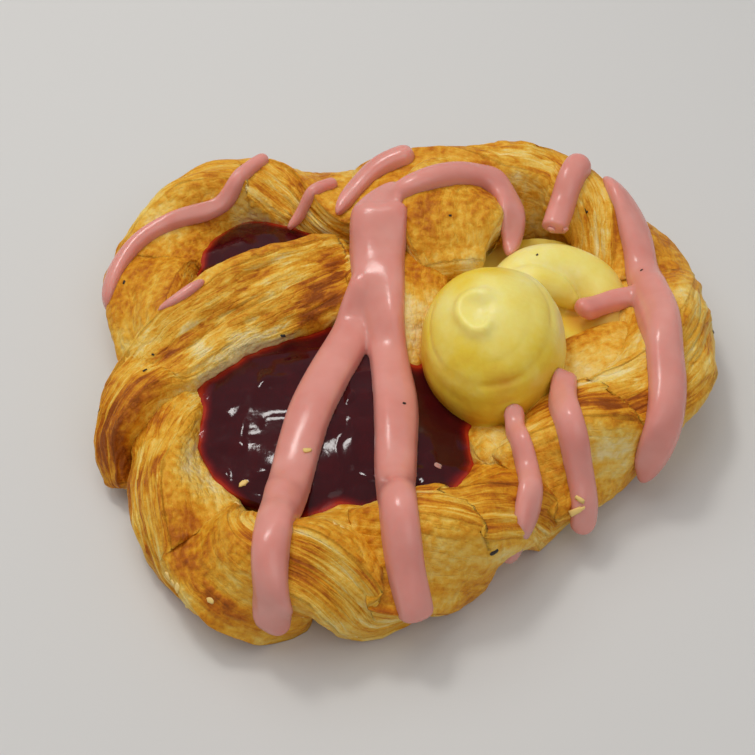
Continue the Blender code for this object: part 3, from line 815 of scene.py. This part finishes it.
# Painted light and shade in the custard's colour: paler by the tip at the top of the ball (painted light), darker low
# down and at the lower left (painted shade), paler to the back right, and chance patches.
painted_light_and_tone = 0.45 * (1 - eased(from_tip, 2, 15)) + 0.40 * eased(about[:, 0] + 0.5 * about[:, 1], 18, 42)
painted_light_and_tone += 0.20 * noise(about / 6, 78) - 0.25 * eased(-about[:, 0] - 0.4 * about[:, 2], -16, -4)
painted_light_and_tone -= 0.42 * (1 - eased(about[:, 2], 7, 21))
from_glaze = np.linalg.norm((about - (40.5, 19.5, 11)) / (8.5, 5.0, 6), axis=1)
glazed = (1 - eased(from_glaze, 0.6, 1.25)) * (0.8 + 0.3 * noise(about / 3, 79))
for key, values in (("painted_light_and_tone", painted_light_and_tone), ("glazed", glazed)):
    custard.data.attributes.new(key, "FLOAT", "POINT").data.foreach_set("value", values.astype(np.float32))

cream, tree, shader = new_material("baked_custard")
place = node(tree, "ShaderNodeTexCoord")
painted_light_and_tone = node(tree, "ShaderNodeAttribute", attribute_name="painted_light_and_tone")
glazed = node(tree, "ShaderNodeAttribute", attribute_name="glazed")
in_mm = scaled(place.outputs["Object"], (1000, 1000, 1000))
cloud = value_noise(in_mm, 7.0, 3)
fine = value_noise(in_mm, 1.3, 3)
# The colour takes its painted light and shade from the attribute.
shade = weighted(0.30, (painted_light_and_tone.outputs["Fac"], 1.0, 0.0), (cloud, 0.6, 0.5), (fine, 0.15, 0.5))
ramp = node(tree, "ShaderNodeValToRGB", {"Fac": shade})
stops = [(0.0, (0.74, 0.37, 0.010)), (0.35, (0.87, 0.64, 0.05)), (0.7, (0.92, 0.79, 0.22)), (1.0, (0.94, 0.87, 0.52))]
elements = ramp.color_ramp.elements
while len(elements) < len(stops):
    elements.new(0.5)
for element, (position, colour) in zip(elements, stops):
    element.position = position
    element.color = (*colour, 1)
wet = node(tree, "ShaderNodeMix", {0: glazed.outputs["Fac"], 6: ramp.outputs["Color"], 7: (0.74, 0.33, 0.03, 1)}, data_type="RGBA")
tree.links.new(wet.outputs[2], shader.inputs["Base Color"])
bump = node(tree, "ShaderNodeBump", {"Height": fine, "Strength": 0.25, "Distance": 0.0003})
tree.links.new(bump.outputs["Normal"], shader.inputs["Normal"])
shader.inputs["Roughness"].default_value = 0.38
shader.inputs["Specular IOR Level"].default_value = 0.45
shader.inputs["Subsurface Weight"].default_value = 0.35
shader.inputs["Subsurface Radius"].default_value = (1.0, 0.7, 0.2)
shader.inputs["Subsurface Scale"].default_value = 0.003
custard.data.materials.clear()
custard.data.materials.append(cream)
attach(custard, "root")
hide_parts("custard")

# ---- icing ---------------------------------------------------------------------------------------
# Pink fondant icing, poured warm over the cold pastry from a spoon and set to thick, smooth, waxy
# ribbons. Each route is place and width, and each ribbon lies on what is under it.
ICING_THICK = 4.6
ICING_LIFT = 1.3
SNAP_REACH = 7.0
END_LENGTH = {"round": 0.5, "cut": 0.14, "point": 1.7}  # how much of the width an end takes to close
ICING = {
    "icing_front": (
        ["icing_front_left"],
        [
            [
                "round round",
                (-5.8, 31, 25, 8),
                (-7, 25.5, 20.5, 9),
                (-9.4, 20, 17, 9.2),
                (-12.5, 12, 16, 9.4),
                (-16, 2.5, 16, 9.6),
                (-19, -6, 16, 9.6),
                (-22, -19.5, 17, 9.2),
                (-23.7, -34, 22, 7.8),
                (-24.6, -43, 20, 7),
                (-24.2, -48, 12, 6),
                (-22.5, -51.5, 6, 4.6),
            ],
            [
                "round cut",
                (-4.5, 47.5, 27, 10.5),
                (-5.2, 41, 28.5, 12.5),
                (-5.6, 33, 27.5, 12.5),
                (-5.5, 27, 23, 12.2),
                (-4.9, 22, 18, 10),
                (-3.6, 12, 16, 8),
                (-2.4, 2, 16, 8.8),
                (-1.8, -6, 16, 9.4),
                (-2.2, -20, 16.5, 8.2),
                (-1.9, -34.5, 22.5, 7),
                (-0.7, -43, 18.5, 7),
                (1, -48, 10, 6.8),
            ],
            ["round point", (-5, 45, 22, 5.5), (-0.5, 45, 28, 5), (5, 47, 30, 5.5), (12, 51, 28, 6), (19, 53, 25, 6.5), (23.5, 49, 22, 7), (24, 42, 21, 6.5), (23, 34, 21, 4)],
        ],
    ),
    "icing_top_ribbon": (["icing_top"], [["round point", (2, 61, 28, 5.5), (-5.5, 59, 26, 6), (-11, 54, 23, 5), (-14.5, 47, 19, 4)]]),
    "icing_short_ribbon": (["icing_back_short"], [["round point", (-15, 58, 19, 3.2), (-19, 54, 20, 3), (-22.5, 51.5, 18, 2.8), (-26.5, 48, 15, 2.6)]]),
    "icing_long_ribbon": (
        ["icing_back_long"],
        [
            [
                "round point",
                (-31.5, 65, 19, 3.4),
                (-35.5, 60, 20, 3.6),
                (-38.5, 55, 19, 3.3),
                (-42, 52, 17, 3.2),
                (-48, 49.5, 17, 3.3),
                (-54, 46.5, 17, 3.4),
                (-59, 43, 15.5, 3.8),
                (-63, 37, 12, 4.2),
                (-65, 29, 6, 4),
            ]
        ],
    ),
    "icing_smear": (["icing_back_patch"], [["point point", (-41, 22, 22, 2.6), (-45.5, 18.8, 22, 3), (-50.5, 15.5, 21, 2.2)]]),
    "icing_right_ribbon": (
        ["icing_right"],
        [
            [
                "point point",
                (45, 55, 23, 6),
                (49.5, 47, 20.5, 8),
                (51.5, 40, 19, 8.4),
                (52, 33, 17, 7.6),
                (52, 25, 17, 7.4),
                (52, 14, 19, 8.2),
                (51.5, 4, 20, 8.2),
                (51.5, -4, 18, 8),
                (50, -11, 13, 7.4),
                (46.5, -17, 6, 6.5),
            ],
            ["round round", (36, 18, 20, 6), (41, 21, 20, 4.5), (46, 23.5, 18, 4.5), (50.5, 24, 17, 5)],
        ],
    ),
    "icing_back_ribbon": (["icing_back_right"], [["round cut", (40, 58, 24, 7), (37.5, 53, 24.5, 6), (35.5, 48, 23, 6), (33, 41, 22, 6)]]),
    "icing_drop_large": (
        ["icing_right_drop"],
        [["cut round", (32, 1, 18, 5.3), (30.3, -7, 20, 5.6), (30.5, -14, 21, 5.6), (32.5, -19, 18, 5.6), (34.3, -25, 12, 5.8), (33, -30, 6, 5)]],
    ),
    "icing_drop_small": (
        ["icing_small_drop"],
        [["round point", (21, -7, 16, 4.6), (21, -13, 18, 3.6), (22.8, -19, 17, 4.4), (23.3, -25, 16, 5), (22, -31, 12, 4.8), (19, -35.5, 7, 3.2)]],
    ),
}

plain_surface = tree_of(*(frame["nodes"][name] for name in ("crust", "jam_front", "jam_back", "custard")))
fine_surface = tree_of(crust, custard, *jams)


def settled(point, reach):
    """The point moved to stand off the plain surface, when it is inside it or within reach above it."""
    spot, normal, _, _ = plain_surface.find_nearest(point)
    stand = (point - spot).dot(normal)
    return spot + normal * ICING_LIFT if stand < max(reach, ICING_LIFT) else point


def kept_in_line(point, aim, before, after):
    """The point moved sideways back into the upright plane of its route."""
    along = after - before
    side = Vector((along.y, -along.x, 0)).normalized()
    return point - side * (point - aim).dot(side)


def settled_line(route):
    """Places and widths along a ribbon that has settled on the pastry, about half a millimetre apart."""
    rows = smooth_rows(route, 3 * (len(route) - 1))
    poured = [Vector(row[:3]) for row in rows]
    line = [settled(point, SNAP_REACH) for point in poured]
    for _ in range(6):
        inner = [(a + b * 2 + c) / 4 for a, b, c in zip(line, line[1:], line[2:])]
        line = [settled(p, 0) for p in [line[0], *inner, line[-1]]]
        line = [line[0], *map(kept_in_line, line[1:], poured[1:], poured[:-1], poured[2:] + poured[-1:])]
    coarse = np.column_stack([np.array(line), rows[:, 3]])
    length = np.linalg.norm(np.diff(coarse[:, :3], axis=0), axis=1).sum()
    fine = smooth_rows(coarse, max(12, int(length / 0.5)))
    for _ in range(90):
        fine[1:-1] = (fine[:-2] + fine[1:-1] * 2 + fine[2:]) / 4
    return fine


def ribbon(name, ends, route, seed):
    """One ribbon draped over the fine surface: its underside follows it, and its top is a rounded crown."""
    fine = settled_line(route)
    centre, wide = fine[:, :3], fine[:, 3].copy()
    along = unit(np.gradient(centre, axis=0))
    across = unit(np.cross(along, (0, 0, 1)))
    up = np.cross(across, along)
    travel = np.concatenate([[0], np.linalg.norm(np.diff(centre, axis=0), axis=1).cumsum()])
    wide *= 1 + 0.05 * flat_noise(travel / 7, seed * 1.7)
    thick = np.minimum(ICING_THICK * 0.84, 0.54 * wide) * (1 + 0.07 * flat_noise(travel / 9, seed * 2.3 + 5))
    closing = np.ones_like(wide)
    for kind, to_end in zip(ends.split(), (travel, travel[-1] - travel)):
        share = np.clip(to_end / (END_LENGTH[kind] * wide), 0, 1)
        closing = np.minimum(closing, np.sqrt(np.clip(1 - (1 - share) ** 2, 0.02, 1)))
    wide, thick = wide * closing, thick * closing**0.6
    lanes = 16
    share = np.linspace(-1, 1, lanes + 1)
    ground = np.zeros((len(centre), lanes + 1))
    for i in range(len(centre)):
        for j, lane in enumerate(share):
            start = centre[i] + across[i] * lane * wide[i] / 2 + up[i] * 6
            hit, _, _, away = fine_surface.ray_cast(Vector(start), Vector(-up[i]), 14)
            ground[i, j] = 6 - away if hit else -ICING_LIFT
    low = -ICING_LIFT - 0.30 * wide[:, None]
    ground = np.clip(ground, low, 2.5)
    # The icing is too thick to sink in a crease, so it bridges the hollows and rests on what stands out.
    found = ground.copy()
    for turn in range(36):
        ground[1:-1] = (ground[:-2] + ground[1:-1] * 2 + ground[2:]) / 4
        ground[:, 1:-1] = (ground[:, :-2] + ground[:, 1:-1] * 2 + ground[:, 2:]) / 4
        if turn < 28:
            ground = np.maximum(ground, found - 0.3)
    crown = (1 - np.abs(share) ** 2.3) ** (1 / 2.3)
    middle = ground[:, lanes // 2 : lanes // 2 + 1]
    top = 0.7 * ground + 0.3 * middle + thick[:, None] * crown
    bottom = np.minimum(ground - 0.7, top - 0.3)
    rings = []
    for i in range(len(centre)):
        upper = [centre[i] + across[i] * lane * wide[i] / 2 + up[i] * top[i, j] for j, lane in enumerate(share)]
        lower = [centre[i] + across[i] * lane * wide[i] / 2 * 0.92 + up[i] * bottom[i, j] for j, lane in enumerate(share)]
        rings.append(upper + lower[::-1])
    rings = np.array(rings)
    sides = rings.shape[1]
    every = np.vstack([rings.reshape(-1, 3), rings[:1].mean(1), rings[-1:].mean(1)])
    return new_mesh(name, every, skin_faces(len(rings), sides, False))


fondant, tree, shader = new_material("pink_icing")
place = node(tree, "ShaderNodeTexCoord")
in_mm = scaled(place.outputs["Object"], (1000, 1000, 1000))
cloud = value_noise(in_mm, 8.0, 2)
fine = value_noise(in_mm, 1.6, 3)
ramp = node(tree, "ShaderNodeValToRGB", {"Fac": weighted(0.5, (cloud, 1.2, 0.5), (fine, 0.1, 0.5))})
ramp.color_ramp.elements[0].color = (0.69, 0.245, 0.195, 1)
ramp.color_ramp.elements[1].color = (0.80, 0.375, 0.315, 1)
tree.links.new(ramp.outputs["Color"], shader.inputs["Base Color"])
bump = node(tree, "ShaderNodeBump", {"Height": fine, "Strength": 0.12, "Distance": 0.0003})
tree.links.new(bump.outputs["Normal"], shader.inputs["Normal"])
shader.inputs["Roughness"].default_value = 0.27
shader.inputs["Specular IOR Level"].default_value = 0.6
shader.inputs["Subsurface Weight"].default_value = 0.6
shader.inputs["Subsurface Radius"].default_value = (1.0, 0.35, 0.3)
shader.inputs["Subsurface Scale"].default_value = 0.003

for seed, (name, (replaced, routes)) in enumerate(ICING.items()):
    first, *more = [new_piece(f"{name}_{i}", ribbon(name, ends, route, seed * 5 + i)) for i, (ends, *route) in enumerate(routes)]
    if more:
        combine(first, "UNION", more)
    first.name = name
    applied(first, "REMESH", mode="VOXEL", voxel_size=0.00045)
    applied(first, "SMOOTH", factor=0.5, iterations=6)
    first.data.shade_smooth()
    first.data.materials.clear()
    first.data.materials.append(fondant)
    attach(first, "root")
    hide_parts(*replaced)

# ---- specks, crumbs and chips --------------------------------------------------------------------
# Burnt specks of flour and spice, flakes and crumbs that have broken off the leaves, and chips of the
# icing. Each is stuck where it fell: place about the crossing, length, width, thickness and heading.
SPECKS = [
    (-60.3, -3.7, 12, 1.6, 0.9, 0.7, 40),
    (-52.8, 4.8, 21, 1.4, 0.5, 0.5, 60),
    (-51.5, 5.5, 21, 0.6, 0.5, 0.4, 0),
    (-60.9, 31.2, 14, 1.2, 0.5, 0.5, 70),
    (-25.3, 14.5, 15, 1.1, 0.7, 0.6, 0),
    (-36.7, -48.2, 4, 1.9, 1.6, 1.0, 10),
    (14.5, -38.1, 16, 1.7, 1.1, 0.8, 50),
    (41.3, 47.1, 20, 1.5, 1.2, 0.9, 0),
    (64.7, 18.0, 12, 1.3, 0.8, 0.7, 30),
    (43.1, 8.4, 16, 1.5, 0.5, 0.5, 15),
    (-0.4, -6.2, 18, 0.7, 0.5, 0.4, 0),
    (10.7, 36.1, 32, 0.8, 0.6, 0.5, 0),
    (50.3, 20.1, 20, 0.5, 0.4, 0.4, 0),
    (50.3, 29.4, 21, 0.7, 0.3, 0.3, 40),
    (28.5, 31.5, 22, 0.5, 0.35, 0.3, 30),
]
FLAKES = [
    (-12.5, -34.5, 22, 2.2, 0.9, 0.5, 80),
    (-10.9, -35.0, 22, 1.2, 0.8, 0.5, 20),
    (-18.1, -17.7, 20, 1.8, 1.0, 0.4, 20),
    (31.0, -30.3, 14, 3.6, 1.2, 0.5, 35),
    (32.2, -28.2, 16, 2.2, 0.8, 0.5, 140),
    (-44.7, -40.8, 10, 1.8, 1.3, 0.8, 10),
    (-43.2, -42.0, 10, 1.2, 1.0, 0.8, 60),
    (-41.7, -42.9, 10, 2.0, 1.4, 0.9, 30),
    (-38.6, -43.5, 9, 1.6, 1.1, 0.8, 80),
    (-35.2, -44.8, 9, 1.3, 1.1, 0.7, 0),
    (-32.1, -21.1, 16, 2.0, 1.2, 0.7, 50),
    (-31.0, -24.2, 16, 1.6, 1.0, 0.7, 100),
    (-16.1, -45.6, 9, 2.6, 1.5, 0.5, 70),
    (-13.5, -45.9, 8, 2.0, 1.2, 0.5, 20),
]
CHIPS = [(6.5, -17.6, 14, 2.0, 0.9, 0.7, 160), (32.6, 40.6, 21, 1.8, 1.2, 0.9, 20), (35.5, 40.0, 21, 1.3, 1.0, 0.8, 70), (2.8, -50.6, 9, 1.6, 1.0, 0.7, 10)]
LOOSE_CRUMBS = 90
chance = np.random.default_rng(81)
tops = np.flatnonzero(normals[:, 2] > 0.25)
for spot in about_crust[chance.choice(tops, LOOSE_CRUMBS)]:
    long = chance.uniform(0.35, 0.9)
    FLAKES.append((*spot, long, long * chance.uniform(0.5, 0.9), long * chance.uniform(0.3, 0.6), chance.uniform(0, 180)))
every_surface = tree_of(*(piece for piece in bpy.data.objects if piece.type == "MESH" and piece is not table and piece.data.materials and not piece.hide_render and piece.name not in frame["nodes"]))
ball = bmesh.new()
bmesh.ops.create_icosphere(ball, subdivisions=2, radius=1)
bit_points = np.array([tuple(v.co) for v in ball.verts])
bit_faces = [[v.index for v in face.verts] for face in ball.faces]
ball.free()


def scatter(name, rows, finish, seed):
    """Small uneven bits, each lying on the surface nearest to its place, joined in one piece."""
    points, faces = [], []
    for number, (x, y, z, long, wide, thick, heading) in enumerate(rows):
        spot, normal, _, _ = every_surface.find_nearest(Vector((x, y, z)))
        along = Vector((math.cos(math.radians(heading)), math.sin(math.radians(heading)), 0))
        along = (along - normal * along.dot(normal)).normalized()
        axes = np.array((along, normal.cross(along), normal))
        shape = np.sign(bit_points) * np.abs(bit_points) ** 0.7
        shape *= (1 + 0.45 * noise(bit_points * 1.3 + number * 7.3, seed))[:, None] * (long / 2, wide / 2, thick / 2)
        faces.extend([corner + len(points) for corner in face] for face in bit_faces)
        points.extend(np.array(spot + normal * thick * 0.22) + shape @ axes)
    piece = new_piece(name, new_mesh(name, points, faces), finish)
    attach(piece, "root")
    return piece


def plain(name, colour, roughness):
    made, _, its_shader = new_material(name)
    its_shader.inputs["Base Color"].default_value = (*colour, 1)
    its_shader.inputs["Roughness"].default_value = roughness
    return made


scatter("burnt_specks", SPECKS, plain("burnt_speck", (0.020, 0.013, 0.008), 0.55), 82)
scatter("loose_flakes", FLAKES, plain("loose_flake", (0.86, 0.60, 0.19), 0.5), 83)
scatter("icing_chips", CHIPS, fondant, 84)

# ---- size ----------------------------------------------------------------------------------------
for piece in bpy.data.objects:
    if piece.type == "MESH" and not piece.hide_render:
        print("PIECE", piece.name, sum(len(p.vertices) - 2 for p in piece.data.polygons))
